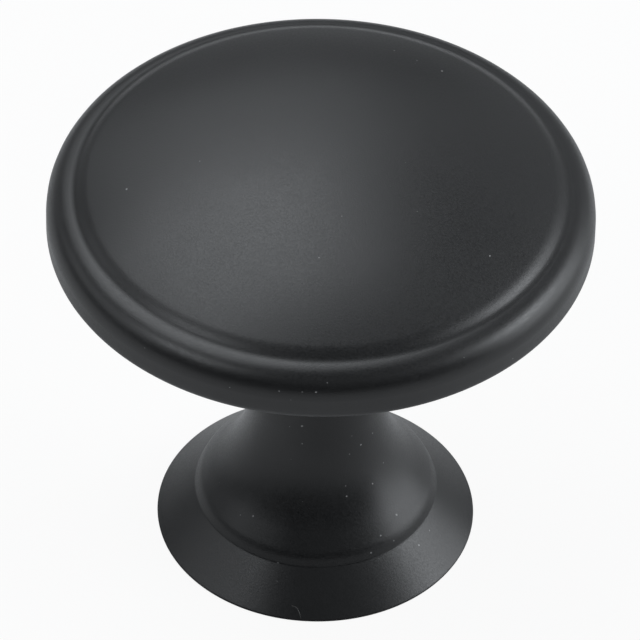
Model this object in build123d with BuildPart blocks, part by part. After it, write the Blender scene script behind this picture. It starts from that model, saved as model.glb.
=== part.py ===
from build123d import *
from math import cos, radians, sin, tan
import os

# A cabinet knob cast in one piece: a stepped, domed cap on a slim waisted stem that flares into a bell foot.
# The foot's underside is tapped for a screw that comes through the door or drawer front.
# All sizes are in millimetres. The origin is the centre of the mounting face and +Z is the knob's axis.

# Overall sizes
knob_height = 29.3
cap_diameter = 32.0
neck_diameter = 8.0
foot_diameter = 19.0

# Cap, from the middle of its face outwards: dome, sloping step, narrow ledge, round rim
dome_rise = 2.75
step_height = 0.42
step_run = 0.56
ledge_run = 1.63
ledge_slope = 10.0
rim_round = 1.6
rim_thickness = 2.75
lip_round = 0.55
shoulder_round = 2.2
step_fillet = 0.95

# Underside of the cap: a shallow cone, swept down into the neck
underside_slope = 10.5
sweep_radius = 5.0

# Stem and foot, from the neck downwards: flare, bell, steep soft collar, sloping flange
flare_radius = 9.0
bell_slope = 50.0
collar_run = 0.25
collar_height = 0.61
collar_round = 1.8
collar_fillet = 0.3
flange_run = 2.25
flange_height = 2.33
foot_edge = 0.1
foot_round = 0.12

# Underside of the foot: a bearing rim and a boss, with a relief ring between them
bearing_width = 1.7
boss_wall = 1.8
relief_depth = 0.6

# Tapped hole, drawn plain at the root diameter of an M4 thread
thread_diameter = 4.0
thread_depth = 14.0
drill_point_angle = 118.0
countersink_diameter = 5.0
countersink_angle = 90.0

# Radii and heights that follow from the sizes above
cap_radius = cap_diameter / 2
neck_radius = neck_diameter / 2
foot_radius = foot_diameter / 2
thread_radius = thread_diameter / 2
countersink_radius = countersink_diameter / 2

shoulder_z = knob_height - dome_rise
ledge_z = shoulder_z - step_height
rim_z = ledge_z - ledge_run * tan(radians(ledge_slope))
lip_z = rim_z - rim_thickness
step_radius = cap_radius - ledge_run
shoulder_radius = step_radius - step_run

sweep_end_radius = neck_radius + sweep_radius * (1 - sin(radians(underside_slope)))
sweep_end_z = lip_z - (cap_radius - sweep_end_radius) * tan(radians(underside_slope))
sweep_z = sweep_end_z - sweep_radius * cos(radians(underside_slope))

collar_radius = foot_radius - flange_run
bell_radius = collar_radius - collar_run
bell_z = flange_height + collar_height
flare_end_radius = neck_radius + flare_radius * (1 - sin(radians(bell_slope)))
flare_end_z = bell_z + (bell_radius - flare_end_radius) * tan(radians(bell_slope))
flare_z = flare_end_z + flare_radius * cos(radians(bell_slope))

# Each corner of the section that is rounded, with its radius
section_rounds = (
    ((foot_radius, foot_edge), foot_round),
    ((collar_radius, flange_height), collar_fillet),
    ((bell_radius, bell_z), collar_round),
    ((cap_radius, lip_z), lip_round),
    ((cap_radius, rim_z), rim_round),
    ((step_radius, ledge_z), step_fillet),
    ((shoulder_radius, shoulder_z), shoulder_round),
)

with BuildPart() as knob:
    # Half section from the foot up to the crown, turned about the axis
    with BuildSketch(Plane.XZ) as section:
        with BuildLine():
            Polyline(
                (0, 0),
                (foot_radius, 0),
                (foot_radius, foot_edge),
                (collar_radius, flange_height),
                (bell_radius, bell_z),
                (flare_end_radius, flare_end_z),
            )
            TangentArc((neck_radius, flare_z), (flare_end_radius, flare_end_z), tangent=(0, -1))
            Line((neck_radius, flare_z), (neck_radius, sweep_z))
            TangentArc((neck_radius, sweep_z), (sweep_end_radius, sweep_end_z), tangent=(0, 1))
            Polyline(
                (sweep_end_radius, sweep_end_z),
                (cap_radius, lip_z),
                (cap_radius, rim_z),
                (step_radius, ledge_z),
                (shoulder_radius, shoulder_z),
            )
            TangentArc((0, knob_height), (shoulder_radius, shoulder_z), tangent=(1, 0))
            Line((0, knob_height), (0, 0))
        make_face()
        for corner, radius in section_rounds:
            fillet(section.vertices().sort_by_distance(corner)[0], radius=radius)
    revolve(axis=Axis.Z)

    # Relief ring in the mounting face, so that the foot beds on its rim and on the boss
    with BuildSketch(Plane.XY):
        Circle(foot_radius - bearing_width)
        Circle(thread_radius + boss_wall, mode=Mode.SUBTRACT)
    extrude(amount=relief_depth, mode=Mode.SUBTRACT)

    # Tapped hole with a countersunk mouth and the cone that the drill leaves
    countersink_depth = (countersink_radius - thread_radius) / tan(radians(countersink_angle / 2))
    drill_point = thread_radius / tan(radians(drill_point_angle / 2))
    with BuildSketch(Plane.XZ):
        with BuildLine():
            Polyline(
                (0, 0),
                (countersink_radius, 0),
                (thread_radius, countersink_depth),
                (thread_radius, thread_depth),
                (0, thread_depth + drill_point),
                close=True,
            )
        make_face()
    revolve(axis=Axis.Z, mode=Mode.SUBTRACT)

knob.part.label = "knob"

os.makedirs("parts", exist_ok=True)
export_step(knob.part, "parts/knob.step")
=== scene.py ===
"""A matte black cabinet knob: its coated body, the screw thread in its foot, a thread of lint, and a small studio."""

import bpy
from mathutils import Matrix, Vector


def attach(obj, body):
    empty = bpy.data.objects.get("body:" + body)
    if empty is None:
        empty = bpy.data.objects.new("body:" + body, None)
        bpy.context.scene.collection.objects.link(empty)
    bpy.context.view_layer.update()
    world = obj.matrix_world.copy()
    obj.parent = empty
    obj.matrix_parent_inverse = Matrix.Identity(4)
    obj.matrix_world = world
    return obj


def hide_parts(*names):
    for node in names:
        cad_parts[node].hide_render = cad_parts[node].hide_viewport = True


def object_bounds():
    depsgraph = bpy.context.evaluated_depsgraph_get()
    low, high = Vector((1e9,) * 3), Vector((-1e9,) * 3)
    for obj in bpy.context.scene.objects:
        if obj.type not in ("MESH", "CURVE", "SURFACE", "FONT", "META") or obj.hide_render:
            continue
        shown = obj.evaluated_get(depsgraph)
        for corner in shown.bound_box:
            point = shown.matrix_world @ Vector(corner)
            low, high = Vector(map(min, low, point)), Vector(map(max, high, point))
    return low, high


bl_info = {
    "name": "Cabinet Knob",
    "version": (1, 0, 0),
    "blender": (4, 5, 0),
    "location": "3D View > Sidebar > Knob",
    "description": "Dresses a one-piece cabinet knob in its matte black coat and sets it in a small studio",
    "category": "Object",
}

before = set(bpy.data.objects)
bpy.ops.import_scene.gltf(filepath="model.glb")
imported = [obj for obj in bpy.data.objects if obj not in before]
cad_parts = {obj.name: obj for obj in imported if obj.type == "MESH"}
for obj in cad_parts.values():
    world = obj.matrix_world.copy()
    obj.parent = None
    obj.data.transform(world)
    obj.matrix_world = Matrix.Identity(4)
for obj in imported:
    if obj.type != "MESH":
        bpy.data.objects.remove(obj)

from math import cos, radians, sin, tan

import bpy
import numpy as np
from bpy.props import FloatProperty, FloatVectorProperty, IntProperty, PointerProperty
from mathutils import Matrix, Vector

CAD_LOW, CAD_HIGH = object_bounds()
UP = (0.0, 0.0, 1.0)


# Sizes and looks that a user would change


def length(name, description, default):
    """A size in metres, shown in the scene's own unit."""
    return FloatProperty(
        name=name, description=description, default=default, min=0.0, precision=5, subtype="DISTANCE", unit="LENGTH"
    )


def angle(name, description, degrees):
    """An angle, given here in degrees."""
    return FloatProperty(name=name, description=description, default=radians(degrees), subtype="ANGLE", unit="ROTATION")


def share(name, description, default):
    """A number from 0 to 1."""
    return FloatProperty(name=name, description=description, default=default, min=0.0, max=1.0, subtype="FACTOR")


def colour(name, description, default):
    """A linear colour."""
    return FloatVectorProperty(
        name=name, description=description, default=default, size=3, min=0.0, max=1.0, subtype="COLOR"
    )


class KnobBodySizes(bpy.types.PropertyGroup):
    """The turned outline of the knob, from its crown down to its mounting face."""

    height: length("Height", "From the mounting face to the crown", CAD_HIGH.z)
    cap_diameter: length("Cap diameter", "Across the cap's rim", CAD_HIGH.x - CAD_LOW.x)
    neck_diameter: length("Neck diameter", "Across the slimmest part of the stem", 0.008)
    foot_diameter: length("Foot diameter", "Across the foot where it meets the door", 0.019)
    dome_rise: length("Dome rise", "Height of the crown above the dome's edge", 0.00275)
    step_height: length("Step height", "Drop from the dome's edge to the ledge round it", 0.00042)
    step_run: length("Step run", "Width of the sloping step", 0.00056)
    ledge_run: length("Ledge run", "From the foot of the step out to the rim", 0.00163)
    ledge_slope: angle("Ledge slope", "Fall of the ledge towards the rim", 10.0)
    rim_round: length("Rim round", "Radius of the rim's upper edge", 0.0016)
    rim_thickness: length("Rim thickness", "Height of the cap's side", 0.00275)
    lip_round: length("Lip round", "Radius of the rim's lower edge", 0.00055)
    shoulder_round: length("Shoulder round", "Radius at the dome's edge", 0.0022)
    step_fillet: length("Step fillet", "Radius at the foot of the step", 0.00095)
    underside_slope: angle("Underside slope", "Rise of the cap's underside towards its rim", 10.5)
    sweep_radius: length("Sweep radius", "Radius from the stem into the cap's underside", 0.005)
    flare_radius: length("Flare radius", "Radius from the stem into the bell", 0.009)
    bell_slope: angle("Bell slope", "Fall of the bell between the flare and the collar", 50.0)
    collar_run: length("Collar run", "Width of the collar's steep side", 0.00025)
    collar_height: length("Collar height", "Height of the collar's steep side", 0.00061)
    collar_round: length("Collar round", "Radius from the bell into the collar", 0.0018)
    collar_fillet: length("Collar fillet", "Radius where the collar meets the flange", 0.0003)
    flange_run: length("Flange run", "Width of the foot's sloping flange", 0.00225)
    flange_height: length("Flange height", "Height of the top of the flange", 0.00233)
    foot_edge: length("Foot edge", "Height of the foot's edge below the flange", 0.0001)
    foot_round: length("Foot round", "Radius of the foot's edge", 0.00012)
    bearing_width: length("Bearing width", "Width of the rim that beds on the door", 0.0017)
    boss_wall: length("Boss wall", "Metal round the screw hole", 0.0018)
    relief_depth: length("Relief depth", "Depth of the ring between rim and boss", 0.0006)
    hole_diameter: length("Hole diameter", "Across the roots of the screw thread", 0.004)
    hole_depth: length("Hole depth", "Depth of the full bore", 0.014)
    countersink_diameter: length("Countersink diameter", "Across the mouth of the screw hole", 0.005)
    coat_round: length("Coat round", "Radius that the coat leaves on every small corner", 0.00004)
    facets: IntProperty(name="Facets", description="Facets round the knob", default=320, min=32, max=400)


class ScrewThreadSizes(bpy.types.PropertyGroup):
    """The thread that a machine screw runs in."""

    pitch: length("Pitch", "Rise of one turn", 0.0007)
    ridge_height: length("Ridge height", "Height of the thread's ridge above the bore", 0.00038)
    crest_width: length("Crest width", "Flat on the ridge's crest", 0.000175)
    root_width: length("Root width", "Width of the ridge where it leaves the bore", 0.00061)
    start: length("Start", "Height of the first turn", 0.0007)
    end: length("End", "Height of the last turn", 0.0132)


class CoatLook(bpy.types.PropertyGroup):
    """The powder coat and what has settled on it."""

    black: colour("Black", "The coat's own colour", (0.0092, 0.0095, 0.0100))
    roughness: share("Roughness", "Middle of the coat's roughness", 0.39)
    roughness_spread: share("Roughness spread", "How far the roughness wanders", 0.02)
    grain_size: length("Grain size", "Spacing of the coat's grains", 0.00012)
    grain_depth: length("Grain depth", "Height of the coat's grains", 0.0000036)
    grain_gloss: share("Grain gloss", "How far the roughness changes from grain to grain", 0.24)
    grain_tone: share("Grain tone", "How far the black changes from grain to grain", 0.35)
    dust: colour("Dust", "Colour of the specks of dust", (0.30, 0.30, 0.30))
    dust_spacing: length("Dust spacing", "Typical spacing of the specks", 0.0007)
    lint: colour("Lint", "Colour of the thread of lint", (0.09, 0.09, 0.088))


class StudioLook(bpy.types.PropertyGroup):
    """Camera, floor and lamps."""

    camera_elevation: angle("Camera elevation", "Angle of the view above the horizon", 43.57)
    camera_distance: length("Camera distance", "From the camera to the point it looks at", 0.5)
    camera_height: length("Aim height", "Height of the point the camera looks at", 0.015703)
    camera_aside: length("Aim aside", "Sideways place of the point the camera looks at", 0.0000625)
    camera_roll: angle("Camera roll", "Turn of the camera about its own line of sight", 1.105)
    camera_lens: FloatProperty(
        name="Lens",
        description="Focal length in millimetres on a 36 mm frame",
        default=477.4,
        subtype="DISTANCE_CAMERA",
    )
    floor: colour("Floor", "Colour of the floor", (0.70, 0.70, 0.70))
    floor_white: share("Floor white", "How far the floor is lifted to plain white where it is seen", 0.92)
    floor_mirrored: share("Floor mirrored", "How far the floor is lifted to plain white where it is mirrored", 0.04)
    surround: colour("Surround", "Colour of the dim room round the studio", (0.004, 0.004, 0.0042))
    lamp_tint: colour("Lamp tint", "Colour of the lamps, a little cooler than white", (0.93, 0.965, 1.0))


# Each lamp: name, azimuth from +X and elevation in degrees, width and height in metres, power in watts
LAMPS = (
    ("right_softbox", 6.0, 20.5, 0.59, 0.54, 2.90),
    ("right_key", 2.0, 36.0, 0.28, 0.22, 1.28),
    ("back_softbox", 122.5, 65.1, 0.48, 0.40, 2.15),
    ("left_softbox", 207.7, 47.9, 0.29, 0.20, 0.95),
    ("back_fill", 104.0, 37.1, 0.48, 0.43, 0.78),
    ("left_strip", 175.4, 27.7, 0.66, 0.21, 0.60),
    ("back_right_fill", 54.0, 25.4, 0.56, 0.46, 0.38),
    ("front_fill", 300.2, 46.8, 0.88, 0.27, 0.22),
    ("overhead_fill", 60.3, 63.8, 0.70, 0.51, 0.26),
    ("back_left_low", 132.0, 12.0, 0.30, 0.20, 0.08),
)
LAMP_DISTANCE = 0.7

# The floor reaches this far each way, and lies this far below the mounting face so that the two don't share a plane
FLOOR_REACH = 6.0
FLOOR_DROP = 0.00002

# Width of the camera's frame in millimetres, and the nearest that it sees in metres
CAMERA_FRAME = 36.0
CAMERA_NEAR = 0.01

# How many points divide each line, and each turn of the thread
RUN_POINTS = 9
CORNER_POINTS = 8
SWEEP_POINTS = 20
FLARE_POINTS = 28
DOME_POINTS = 28
THREAD_POINTS_A_TURN = 48
LINT_POINTS = 40
LINT_SIDES = 8

# A run keeps no point nearer than this to its cut end, and points nearer than this to each other are one, in metres
CUT_MARGIN = 1e-7
SAME_POINT = 1e-8

# Half of the angle that a twist drill leaves at the end of its hole
DRILL_HALF_ANGLE = radians(59.0)

# The thread's ridge grows over this many turns from this share of its height, and is sunk this far into the bore's wall
THREAD_FADE = 0.5
THREAD_LEAST = 0.02
THREAD_SUNK = 0.00003

# The lint's start, the point that bends it and its end, as metres from the axis and degrees from +X
LINT_FROM_AXIS = (0.00895, 0.00889, 0.00944)
LINT_BEARING = (-98.4, -95.6, -94.5)

# The lint's radius in metres, how blunt and how full its ends are, and how many radii it is lifted off the flange
LINT_RADIUS = 0.000022
LINT_BLUNT = 0.06
LINT_FULLNESS = 0.4
LINT_LIFT = 0.7

# How much paler and darker than its own colour the lint gets along its length, and how quickly, in changes a metre
LINT_TONE = 0.4
LINT_TONE_SCALE = 6000.0

# How quickly the coat's slow patches change, in changes a metre
PATCH_SCALE = 260.0

# Dust gathers round a point on the bell's near side, fully within the first distance and hardly past the second
DUST_CENTRE = (0.001, -0.006, 0.007)
DUST_NEAR = 0.003
DUST_FAR = 0.010

# What is added to the chance of a speck there, and elsewhere
DUST_NEAR_CHANCE = 0.42
DUST_FAR_CHANCE = 0.03

# How quickly the drifts of dust change, in changes a metre
DRIFT_SCALE = 170.0

# The chance at which a speck first shows, and at which it is full size
SPECK_FIRST = 1.27
SPECK_FULL = 1.67

# A full speck's radius and soft edge, as shares of the specks' spacing
SPECK_RADIUS = 0.11
SPECK_EDGE = 0.06

# How far a speck is pulled out of round, in metres, and how quickly that changes, in changes a metre
SPECK_PULL = 0.0001
SPECK_PULL_SCALE = 5200.0


# Lines and surfaces


def straight(start, end):
    """Points from start to end, spaced by a half cosine so that they gather at both ends."""
    t = 0.5 - 0.5 * np.cos(np.linspace(0.0, np.pi, RUN_POINTS))
    return np.outer(1.0 - t, start) + np.outer(t, end)


def arc(centre, radius, first, last, points):
    """Points on a circle: the centre plus radius times cosine and sine of an even run of angles."""
    a = np.linspace(first, last, points)
    return np.stack((centre[0] + radius * np.cos(a), centre[1] + radius * np.sin(a)), axis=1)


def trimmed(run, off_start, off_end):
    """The run with a length taken off each end, the new ends read off its own line."""
    s = np.concatenate(([0.0], np.cumsum(np.hypot(*np.diff(run, axis=0).T))))
    low, high = off_start, s[-1] - off_end
    inside = run[(s > low + CUT_MARGIN) & (s < high - CUT_MARGIN)]
    ends = np.stack((np.interp((low, high), s, run[:, 0]), np.interp((low, high), s, run[:, 1])), axis=1)
    return np.concatenate((ends[:1], inside, ends[1:]))


def corner_arc(before, after, radius):
    """The arc tangent to two runs that meet: it starts radius x tan(half the turn) before their corner and turns from
    one direction into the other. Gives the arc and that tangent length."""
    into = before[-1] - before[-2]
    into = into / np.hypot(*into)
    out = after[1] - after[0]
    out = out / np.hypot(*out)
    turn = np.arccos(np.clip(into @ out, -1.0, 1.0))
    reach = radius * np.tan(turn / 2.0)
    side = out - (out @ into) * into
    side = side / np.hypot(*side)
    a = np.linspace(0.0, turn, CORNER_POINTS)[:, None]
    return before[-1] - reach * into + radius * (np.sin(a) * into + (1.0 - np.cos(a)) * side), reach


def rounded_line(runs, radii):
    """One line through the runs in order. Each joint has a radius: zero where the runs are tangent, and otherwise both
    runs are cut back and the corner arc is put between them."""
    arcs = [corner_arc(a, b, r) if r > 0.0 else (a[:0], 0.0) for a, b, r in zip(runs, runs[1:], radii)]
    reach = [0.0, *(tangent for _, tangent in arcs), 0.0]
    parts = []
    for i, run in enumerate(runs):
        parts.append(trimmed(run, reach[i], reach[i + 1]))
        if i < len(arcs):
            parts.append(arcs[i][0])
    line = np.concatenate(parts)
    apart = np.hypot(*np.diff(line, axis=0).T) > SAME_POINT
    return line[np.concatenate(([True], apart))]


def grid_quads(here):
    """Four-sided faces between the rows of a grid of vertex numbers, each row closed on itself."""
    beside = np.roll(here, -1, axis=1)
    return np.stack((here[:-1], beside[:-1], beside[1:], here[1:]), axis=2).reshape(-1, 4).tolist()


def turned(line, facets):
    """A line of radius and height turned about the axis: each point times the cosine and sine of an even run of angles.
    The first and last points lie on the axis and are single vertices."""
    turn = np.linspace(0.0, 2.0 * np.pi, facets, endpoint=False)
    r, z = line[1:-1, 0], line[1:-1, 1]
    rings = np.stack((np.outer(r, np.cos(turn)), np.outer(r, np.sin(turn)), np.repeat(z[:, None], facets, 1)), axis=2)
    points = np.concatenate(((0.0, 0.0, line[0, 1]), rings.ravel(), (0.0, 0.0, line[-1, 1]))).reshape(-1, 3)
    here = 1 + np.arange(len(r))[:, None] * facets + np.arange(facets)[None, :]
    beside = np.roll(here, -1, axis=1)
    first = np.stack((np.zeros(facets, int), beside[0], here[0]), axis=1)
    last = np.stack((here[-1], beside[-1], np.full(facets, len(points) - 1)), axis=1)
    return points, grid_quads(here) + first.tolist() + last.tolist()


def swept(path, across, over, profile):
    """A closed profile carried along a path: at each path point, profile x times the across vector plus profile y times
    the over vector. profile may change along the path. Both ends are closed by one face."""
    count, sides = profile.shape[:2]
    points = path[:, None] + profile[..., :1] * across[:, None] + profile[..., 1:] * over[:, None]
    here = np.arange(count)[:, None] * sides + np.arange(sides)[None, :]
    ends = [here[0, ::-1].tolist(), here[-1].tolist()]
    return points.reshape(-1, 3), grid_quads(here) + ends


# The shapes of the pieces


def knob_outline(k):
    """Half section of the knob as radius and height, from the drill point in its hole, out over the mounting face and
    up the outside to the crown: straight runs and arcs joined by rounded_line."""
    cap, neck, foot = k.cap_diameter / 2, k.neck_diameter / 2, k.foot_diameter / 2
    hole, mouth = k.hole_diameter / 2, k.countersink_diameter / 2
    boss, bed = hole + k.boss_wall, foot - k.bearing_width
    drill_end = k.hole_depth + hole / tan(DRILL_HALF_ANGLE)
    countersunk = mouth - hole

    shoulder_z = k.height - k.dome_rise
    ledge_z = shoulder_z - k.step_height
    rim_z = ledge_z - k.ledge_run * tan(k.ledge_slope)
    lip_z = rim_z - k.rim_thickness
    step = cap - k.ledge_run
    shoulder = step - k.step_run

    collar = foot - k.flange_run
    bell = collar - k.collar_run
    bell_z = k.flange_height + k.collar_height
    fall = k.bell_slope
    flare_end = neck + k.flare_radius * (1 - sin(fall))
    flare_end_z = bell_z + (bell - flare_end) * tan(fall)
    flare_centre = (neck + k.flare_radius, flare_end_z + k.flare_radius * cos(fall))

    slope = k.underside_slope
    sweep_end = neck + k.sweep_radius * (1 - sin(slope))
    sweep_end_z = lip_z - (cap - sweep_end) * tan(slope)
    sweep_centre = (neck + k.sweep_radius, sweep_end_z - k.sweep_radius * cos(slope))

    dome_radius = (shoulder**2 + k.dome_rise**2) / (2 * k.dome_rise)
    dome_edge = np.arcsin(shoulder / dome_radius)
    dome_centre = (0.0, k.height - dome_radius)

    # Screw hole and mounting face
    below = [
        straight((0.0, drill_end), (hole, k.hole_depth)),
        straight((hole, k.hole_depth), (hole, countersunk)),
        straight((hole, countersunk), (mouth, 0.0)),
        straight((mouth, 0.0), (boss, 0.0)),
        straight((boss, 0.0), (boss, k.relief_depth)),
        straight((boss, k.relief_depth), (bed, k.relief_depth)),
        straight((bed, k.relief_depth), (bed, 0.0)),
        straight((bed, 0.0), (foot, 0.0)),
    ]
    # Foot, stem and the cap's underside
    stem = [
        straight((foot, 0.0), (foot, k.foot_edge)),
        straight((foot, k.foot_edge), (collar, k.flange_height)),
        straight((collar, k.flange_height), (bell, bell_z)),
        straight((bell, bell_z), (flare_end, flare_end_z)),
        arc(flare_centre, k.flare_radius, 1.5 * np.pi - fall, np.pi, FLARE_POINTS),
        straight((neck, flare_centre[1]), (neck, sweep_centre[1])),
        arc(sweep_centre, k.sweep_radius, np.pi, np.pi / 2 + slope, SWEEP_POINTS),
        straight((sweep_end, sweep_end_z), (cap, lip_z)),
    ]
    # Rim, ledge, step and dome
    top = [
        straight((cap, lip_z), (cap, rim_z)),
        straight((cap, rim_z), (step, ledge_z)),
        straight((step, ledge_z), (shoulder, shoulder_z)),
        arc(dome_centre, dome_radius, np.pi / 2 - dome_edge, np.pi / 2, DOME_POINTS),
    ]
    below_radii = [k.coat_round] * len(below)
    stem_radii = [k.foot_round, k.collar_fillet, k.collar_round, 0.0, 0.0, 0.0, 0.0, k.lip_round]
    top_radii = [k.rim_round, k.step_fillet, k.shoulder_round]
    return rounded_line(below + stem + top, below_radii + stem_radii + top_radii)


def thread_ridge(k, t):
    """The screw thread's ridge: a trapezium, wide in the bore's wall and narrow at its crest, carried up a helix. Its
    height grows from next to nothing over the first half turn and dies away over the last."""
    turns = (t.end - t.start) / t.pitch
    along = np.linspace(0.0, turns, int(turns * THREAD_POINTS_A_TURN))
    turn = 2.0 * np.pi * along
    bore = k.hole_diameter / 2
    inward = np.stack((-np.cos(turn), -np.sin(turn), np.zeros_like(turn)), axis=1)
    upward = np.tile(UP, (len(turn), 1))
    path = -bore * inward + np.outer(t.start + t.pitch * along, UP)
    grown = np.clip(np.minimum(along, turns - along) / THREAD_FADE, THREAD_LEAST, 1.0)
    root, crest = t.root_width / 2, t.crest_width / 2
    trapezium = np.array([
        (-THREAD_SUNK, -root),
        (0.0, -root),
        (t.ridge_height, -crest),
        (t.ridge_height, crest),
        (0.0, root),
        (-THREAD_SUNK, root),
    ])
    profile = np.repeat(trapezium[None], len(turn), axis=0)
    profile[:, 2:4, 0] *= grown[:, None]
    return swept(path, inward, upward, profile)


def lint_fibre(k):
    """A hair of lint on the flange: a circle that thins at both ends, carried along a curve that is bent once. The
    curve is a quadratic in distance from the axis and in bearing, and its height follows the flange's slope."""
    u = np.linspace(0.0, 1.0, LINT_POINTS)
    bend = np.stack(((1 - u) ** 2, 2 * u * (1 - u), u**2), axis=1)
    from_axis = bend @ LINT_FROM_AXIS
    bearing = np.radians(bend @ LINT_BEARING)
    foot = k.foot_diameter / 2
    rise = (k.flange_height - k.foot_edge) / k.flange_run
    normal = np.array((rise, 1.0)) / np.hypot(rise, 1.0)
    radius = LINT_RADIUS * np.sin(np.pi * (LINT_BLUNT + (1.0 - 2.0 * LINT_BLUNT) * u)) ** LINT_FULLNESS
    z = k.foot_edge + (foot - from_axis) * rise
    out = np.stack((np.cos(bearing), np.sin(bearing), np.zeros_like(bearing)), axis=1)
    over = normal[0] * out + normal[1] * np.array(UP)
    path = from_axis[:, None] * out + np.outer(z, UP) + LINT_LIFT * radius[:, None] * over
    ahead = np.gradient(path, axis=0)
    ahead /= np.linalg.norm(ahead, axis=1, keepdims=True)
    across = np.cross(over, ahead)
    turn = np.linspace(0.0, 2.0 * np.pi, LINT_SIDES, endpoint=False)
    circle = np.stack((np.cos(turn), np.sin(turn)), axis=1)
    return swept(path, across, over, radius[:, None, None] * circle[None])


def shown_piece(name, points, faces, material):
    """A smooth-shaded mesh object at the origin, its place in its vertices."""
    mesh = bpy.data.meshes.new(name)
    mesh.from_pydata(points, [], faces)
    mesh.polygons.foreach_set("use_smooth", np.ones(len(mesh.polygons), bool))
    mesh.materials.append(material)
    if mesh.validate():
        raise RuntimeError(f"{name} has faces that can't be kept")
    mesh.update()
    piece = bpy.data.objects.new(name, mesh)
    bpy.context.scene.collection.objects.link(piece)
    return piece


# Materials


def new_material(name):
    """An empty node material, with two short hands: one adds a labelled node, the other joins two sockets."""
    material = bpy.data.materials.new(name)
    material.use_nodes = True
    tree = material.node_tree
    tree.nodes.clear()

    def add(kind, label, values=(), **settings):
        made = tree.nodes.new(kind)
        made.label = label
        for key, value in settings.items():
            setattr(made, key, value)
        for key, value in values:
            made.inputs[key].default_value = value
        return made

    return material, add, tree.links.new


def toned(rgb, factor):
    """A linear colour made paler or darker by a factor, with full alpha."""
    return (*(v * factor for v in rgb), 1.0)


def dust_specks(c, place, add, join):
    """Where a speck of dust hides the coat, from 0 to 1. Each cell of a Voronoi pattern has a chance of its own, raised
    in the drifts and on the bell's near side, and only the highest chances give a speck."""
    stir = add("ShaderNodeTexNoise", "ragged speck edges", (("Scale", SPECK_PULL_SCALE), ("Detail", 1.0)))
    join(place, stir.inputs["Vector"])
    pull = add("ShaderNodeVectorMath", "pull the specks out of round", operation="MULTIPLY_ADD")
    pull.inputs[1].default_value = (SPECK_PULL, SPECK_PULL, SPECK_PULL)
    join(stir.outputs["Color"], pull.inputs[0])
    join(place, pull.inputs[2])
    specks = add("ShaderNodeTexVoronoi", "dust", (("Scale", 1.0 / c.dust_spacing),), feature="F1")
    join(pull.outputs[0], specks.inputs["Vector"])
    pick = add("ShaderNodeSeparateColor", "one chance for each speck")
    join(specks.outputs["Color"], pick.inputs[0])

    drifts = add("ShaderNodeTexNoise", "drifts of dust", (("Scale", DRIFT_SCALE), ("Detail", 1.0)))
    join(place, drifts.inputs["Vector"])
    away = add("ShaderNodeVectorMath", "away from the bell's near side", operation="DISTANCE")
    away.inputs[1].default_value = DUST_CENTRE
    join(place, away.inputs[0])
    near = add("ShaderNodeMapRange", "thicker on the bell's near side", (
        ("From Min", DUST_FAR),
        ("From Max", DUST_NEAR),
        ("To Min", DUST_FAR_CHANCE),
        ("To Max", DUST_NEAR_CHANCE),
    ))
    join(away.outputs["Value"], near.inputs["Value"])
    drift = add("ShaderNodeMath", "drifts, thicker on the bell", operation="ADD")
    join(drifts.outputs["Fac"], drift.inputs[0])
    join(near.outputs[0], drift.inputs[1])
    chance = add("ShaderNodeMath", "more specks in a drift", operation="ADD")
    join(pick.outputs[0], chance.inputs[0])
    join(drift.outputs[0], chance.inputs[1])

    size = add("ShaderNodeMapRange", "most places stay clean", (
        ("From Min", SPECK_FIRST),
        ("From Max", SPECK_FULL),
        ("To Min", 0.0),
        ("To Max", SPECK_RADIUS),
    ))
    join(chance.outputs[0], size.inputs["Value"])
    inside = add("ShaderNodeMath", "inside the speck", operation="SUBTRACT")
    join(size.outputs[0], inside.inputs[0])
    join(specks.outputs["Distance"], inside.inputs[1])
    speck = add("ShaderNodeMapRange", "soft speck edge", (
        ("From Min", 0.0),
        ("From Max", SPECK_EDGE),
        ("To Min", 0.0),
        ("To Max", 1.0),
    ))
    join(inside.outputs[0], speck.inputs["Value"])
    return speck.outputs[0]


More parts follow.
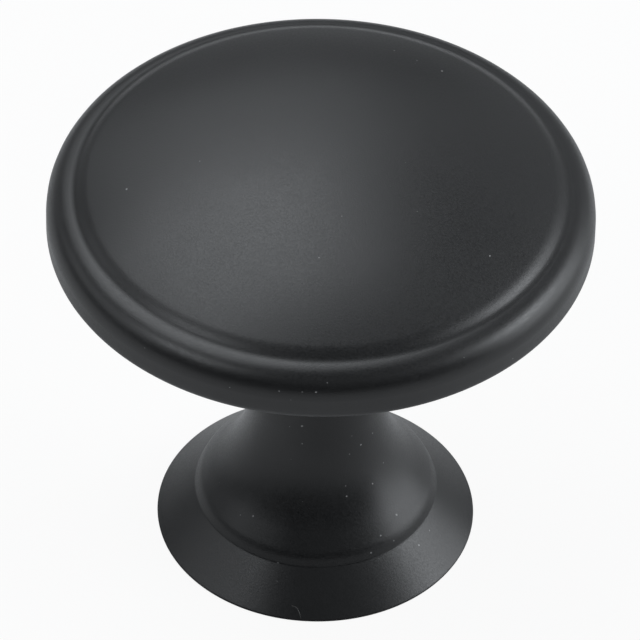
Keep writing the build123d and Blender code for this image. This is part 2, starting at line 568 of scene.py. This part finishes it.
def coat_material(c):
    """The matte powder coat: near black, of fine grains that stand up a little, each duller or glossier and paler or
    darker than the next. Its roughness also wanders slowly, and sparse specks of dust lie on it."""
    material, add, join = new_material("black_powder_coat")
    place = add("ShaderNodeTexCoord", "place on the knob").outputs["Object"]

    grain = add("ShaderNodeTexNoise", "fine grain", (
        ("Scale", 1.0 / c.grain_size),
        ("Detail", 1.0),
        ("Roughness", 0.5),
    ))
    join(place, grain.inputs["Vector"])
    bump = add("ShaderNodeBump", "grain of the coat", (("Strength", 1.0), ("Distance", c.grain_depth)))
    join(grain.outputs["Fac"], bump.inputs["Height"])

    patches = add("ShaderNodeTexNoise", "slow patches", (("Scale", PATCH_SCALE), ("Detail", 3.0), ("Roughness", 0.55)))
    join(place, patches.inputs["Vector"])
    slow = add("ShaderNodeMapRange", "roughness of the patches", (
        ("From Min", 0.25),
        ("From Max", 0.75),
        ("To Min", c.roughness - c.roughness_spread - c.grain_gloss / 2),
        ("To Max", c.roughness + c.roughness_spread - c.grain_gloss / 2),
    ))
    join(patches.outputs["Fac"], slow.inputs["Value"])
    rough = add("ShaderNodeMath", "roughness of the coat", operation="MULTIPLY_ADD")
    join(grain.outputs["Fac"], rough.inputs[0])
    rough.inputs[1].default_value = c.grain_gloss
    join(slow.outputs[0], rough.inputs[2])

    shade = add("ShaderNodeMix", "paler and darker grains", data_type="RGBA")
    shade.inputs["A"].default_value = toned(c.black, 1.0 - c.grain_tone)
    shade.inputs["B"].default_value = toned(c.black, 1.0 + c.grain_tone)
    join(grain.outputs["Fac"], shade.inputs["Factor"])
    tint = add("ShaderNodeMix", "dust on the coat", data_type="RGBA")
    tint.inputs["B"].default_value = toned(c.dust, 1.0)
    join(dust_specks(c, place, add, join), tint.inputs["Factor"])
    join(shade.outputs["Result"], tint.inputs["A"])

    coat = add("ShaderNodeBsdfPrincipled", "powder coat", (("IOR", 1.5),))
    join(tint.outputs["Result"], coat.inputs["Base Color"])
    join(rough.outputs[0], coat.inputs["Roughness"])
    join(bump.outputs[0], coat.inputs["Normal"])
    out = add("ShaderNodeOutputMaterial", "surface")
    join(coat.outputs[0], out.inputs["Surface"])
    return material


def shared_coat(look):
    """The powder coat, made once and shared by the body and the thread."""
    return bpy.data.materials.get("black_powder_coat") or coat_material(look)


def lint_material(c):
    """Grey lint, paler and darker along its length, and very rough."""
    material, add, join = new_material("grey_lint")
    place = add("ShaderNodeTexCoord", "place on the knob").outputs["Object"]
    noise = add("ShaderNodeTexNoise", "uneven fibre", (("Scale", LINT_TONE_SCALE), ("Detail", 1.0)))
    join(place, noise.inputs["Vector"])
    shade = add("ShaderNodeMix", "paler and darker lengths", data_type="RGBA")
    shade.inputs["A"].default_value = toned(c.lint, 1.0 - LINT_TONE)
    shade.inputs["B"].default_value = toned(c.lint, 1.0 + LINT_TONE)
    join(noise.outputs["Fac"], shade.inputs["Factor"])
    fibre = add("ShaderNodeBsdfPrincipled", "fibre", (("Roughness", 0.9),))
    join(shade.outputs["Result"], fibre.inputs["Base Color"])
    out = add("ShaderNodeOutputMaterial", "surface")
    join(fibre.outputs[0], out.inputs["Surface"])
    return material


def floor_material(s):
    """Matt floor. Where it is seen, straight on, mirrored or through glass, it is lifted towards plain white."""
    material, add, join = new_material("white_floor")
    matt = add("ShaderNodeBsdfDiffuse", "matt floor", (("Color", toned(s.floor, 1.0)),))
    white = add("ShaderNodeEmission", "plain white", (("Strength", 1.0),))
    path = add("ShaderNodeLightPath", "how it is seen")
    seen = add("ShaderNodeMath", "straight on or through glass", operation="MAXIMUM")
    join(path.outputs["Is Camera Ray"], seen.inputs[0])
    join(path.outputs["Is Transmission Ray"], seen.inputs[1])
    mirrored = add("ShaderNodeMath", "mirrored", operation="MULTIPLY")
    join(path.outputs["Is Glossy Ray"], mirrored.inputs[0])
    mirrored.inputs[1].default_value = s.floor_mirrored
    lift = add("ShaderNodeMath", "how far it is lifted", operation="MULTIPLY_ADD", use_clamp=True)
    join(seen.outputs[0], lift.inputs[0])
    lift.inputs[1].default_value = s.floor_white
    join(mirrored.outputs[0], lift.inputs[2])
    both = add("ShaderNodeMixShader", "floor and white")
    join(lift.outputs[0], both.inputs[0])
    join(matt.outputs[0], both.inputs[1])
    join(white.outputs[0], both.inputs[2])
    out = add("ShaderNodeOutputMaterial", "surface")
    join(both.outputs[0], out.inputs["Surface"])
    return material


# Studio


def set_floor(look):
    """A wide square floor, just below the mounting face."""
    far, low = FLOOR_REACH, -FLOOR_DROP
    corners = [(-far, -far, low), (far, -far, low), (far, far, low), (-far, far, low)]
    floor = shown_piece("floor", corners, [(0, 1, 2, 3)], floor_material(look))


def set_surround(scene, look):
    """The dim room beyond the lamps."""
    world = bpy.data.worlds.new("surround")
    world.use_nodes = True
    world.node_tree.nodes["Background"].inputs["Color"].default_value = toned(look.surround, 1.0)
    scene.world = world


def set_lamps(scene, look):
    """The soft boxes, each turned towards the middle of the mounting face and hidden from the camera."""
    for name, azimuth, elevation, width, height, power in LAMPS:
        lamp = bpy.data.lights.new(name, "AREA")
        lamp.shape = "RECTANGLE"
        lamp.size = width
        lamp.size_y = height
        lamp.energy = power
        lamp.color = look.lamp_tint
        a, e = radians(azimuth), radians(elevation)
        stand = bpy.data.objects.new(name, lamp)
        stand.location = Vector((cos(e) * cos(a), cos(e) * sin(a), sin(e))) * LAMP_DISTANCE
        stand.rotation_euler = stand.location.to_track_quat("Z", "Y").to_euler()
        stand.visible_camera = False
        scene.collection.objects.link(stand)


def set_camera(scene, look):
    """A long lens in front of the knob, looking down at it and rolled a little."""
    lens = bpy.data.cameras.new("camera")
    lens.sensor_width = CAMERA_FRAME
    lens.lens = look.camera_lens
    lens.clip_start = CAMERA_NEAR
    camera = bpy.data.objects.new("camera", lens)
    aim = Vector((look.camera_aside, 0.0, look.camera_height))
    back = Vector((0.0, -cos(look.camera_elevation), sin(look.camera_elevation)))
    turn = back.to_track_quat("Z", "Y").to_matrix().to_4x4() @ Matrix.Rotation(look.camera_roll, 4, "Z")
    camera.matrix_world = Matrix.Translation(aim + look.camera_distance * back) @ turn
    scene.collection.objects.link(camera)
    scene.camera = camera


# Operators and sidebar


class KNOB_OT_body(bpy.types.Operator):
    """Turn the knob's coated body from its outline"""

    bl_idname = "knob.body"
    bl_label = "Knob Body"

    def execute(self, context):
        sizes = context.scene.knob_body_sizes
        points, faces = turned(knob_outline(sizes), sizes.facets)
        body = shown_piece("knob_body", points, faces, shared_coat(context.scene.knob_coat))
        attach(body, "root")
        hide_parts("knob")
        return {"FINISHED"}


class KNOB_OT_thread(bpy.types.Operator):
    """Wind the screw thread up the hole in the foot"""

    bl_idname = "knob.thread"
    bl_label = "Screw Thread"

    def execute(self, context):
        points, faces = thread_ridge(context.scene.knob_body_sizes, context.scene.knob_thread_sizes)
        thread = shown_piece("screw_thread", points, faces, shared_coat(context.scene.knob_coat))
        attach(thread, "root")
        return {"FINISHED"}


class KNOB_OT_lint(bpy.types.Operator):
    """Lay a thread of lint on the foot's flange"""

    bl_idname = "knob.lint"
    bl_label = "Lint"

    def execute(self, context):
        points, faces = lint_fibre(context.scene.knob_body_sizes)
        lint = shown_piece("lint_thread", points, faces, lint_material(context.scene.knob_coat))
        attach(lint, "root")
        return {"FINISHED"}


class KNOB_OT_studio(bpy.types.Operator):
    """Set out the floor, the lamps and the camera"""

    bl_idname = "knob.studio"
    bl_label = "Studio"

    def execute(self, context):
        scene = context.scene
        look = scene.knob_studio
        scene.view_settings.view_transform = "Standard"
        set_floor(look)
        set_surround(scene, look)
        set_lamps(scene, look)
        set_camera(scene, look)
        return {"FINISHED"}


class KNOB_PT_sidebar(bpy.types.Panel):
    """The knob's pieces and their sizes"""

    bl_idname = "KNOB_PT_sidebar"
    bl_label = "Cabinet Knob"
    bl_space_type = "VIEW_3D"
    bl_region_type = "UI"
    bl_category = "Knob"

    def draw(self, context):
        groups = (
            ("knob.body", "knob_body_sizes"),
            ("knob.thread", "knob_thread_sizes"),
            ("knob.lint", "knob_coat"),
            ("knob.studio", "knob_studio"),
        )
        for operator, group in groups:
            box = self.layout.box()
            box.operator(operator)
            settings = getattr(context.scene, group)
            for key in settings.__annotations__:
                box.prop(settings, key)


GROUPS = {
    "knob_body_sizes": KnobBodySizes,
    "knob_thread_sizes": ScrewThreadSizes,
    "knob_coat": CoatLook,
    "knob_studio": StudioLook,
}
CLASSES = (*GROUPS.values(), KNOB_OT_body, KNOB_OT_thread, KNOB_OT_lint, KNOB_OT_studio, KNOB_PT_sidebar)


def register():
    """Register the classes and hang the settings on the scene."""
    for kind in CLASSES:
        bpy.utils.register_class(kind)
    for key, kind in GROUPS.items():
        setattr(bpy.types.Scene, key, PointerProperty(type=kind))


def unregister():
    """Take the settings off the scene and drop the classes."""
    for key in GROUPS:
        delattr(bpy.types.Scene, key)
    for kind in reversed(CLASSES):
        bpy.utils.unregister_class(kind)


def main():
    """Build every piece in order."""
    register()
    bpy.ops.knob.body()
    bpy.ops.knob.thread()
    bpy.ops.knob.lint()
    bpy.ops.knob.studio()


if __name__ == "__main__":
    main()
